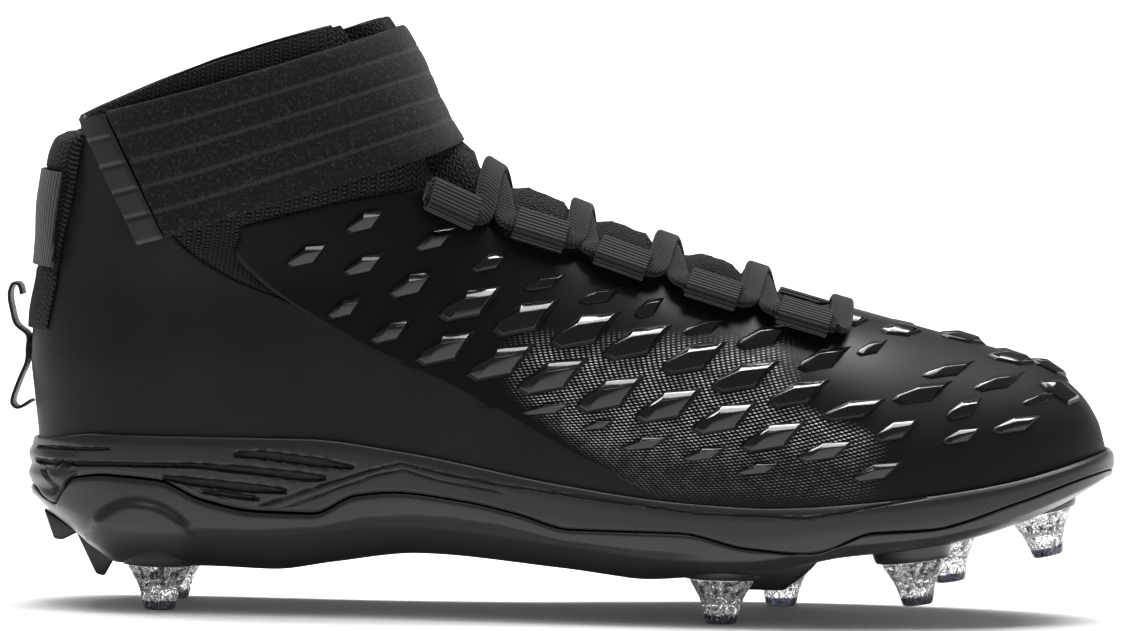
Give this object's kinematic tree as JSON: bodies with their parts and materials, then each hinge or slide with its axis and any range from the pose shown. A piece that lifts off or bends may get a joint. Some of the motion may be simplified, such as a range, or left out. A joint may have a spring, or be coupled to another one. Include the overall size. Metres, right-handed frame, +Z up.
{
  "type": "american football cleat",
  "caption": "Right mid-cut American football cleat with a knit collar, ankle strap, faceted glossy vamp, laced throat and clear screw-in studs.",
  "frame": {"origin": "on the floor under the middle of the shoe's bounding box", "axes": "+X from heel to toe, +Y to the inner side of the foot, +Z up"},
  "size_m": [0.3114, 0.1042, 0.1653],
  "materials": {
    "plate": "hard moulded nylon, satin to gloss",
    "foam": "moulded foam, satin",
    "lining": "napped cloth over foam",
    "knit": "coarse knit",
    "matte_panel": "matte skin with a soft sheen",
    "gloss_panel": "glossy moulded skin",
    "strap_elastic": "ribbed woven elastic",
    "grip": "satin rubber",
    "webbing": "ribbed webbing",
    "lace_cord": "flat woven lace",
    "stud_clear": "clear moulded plastic with a smoky tip"
  },
  "bodies": {
    "root": {"outsole_plate": "plate", "midsole": "foam", "insole": "lining", "upper": "knit", "tongue": "knit", "heel_quarter": "matte_panel", "faceted_shell": "gloss_panel", "ankle_strap": "strap_elastic", "strap_grip_tab": "grip", "pull_tab": "knit", "pull_tab_sleeve": "webbing", "heel_ribbon": "webbing", "lace": "lace_cord", "lace_loop_lateral_1": "webbing", "lace_loop_medial_1": "webbing", "lace_loop_lateral_2": "webbing", "lace_loop_medial_2": "webbing", "lace_loop_lateral_3": "webbing", "lace_loop_medial_3": "webbing", "lace_loop_lateral_4": "webbing", "lace_loop_medial_4": "webbing", "lace_loop_lateral_5": "webbing", "lace_loop_medial_5": "webbing", "stud_heel_lateral": "stud_clear", "stud_heel_medial": "stud_clear", "stud_ball_lateral": "stud_clear", "stud_ball_medial": "stud_clear", "stud_front_lateral": "stud_clear", "stud_front_medial": "stud_clear", "stud_toe": "stud_clear"}
  },
  "joints": []
}
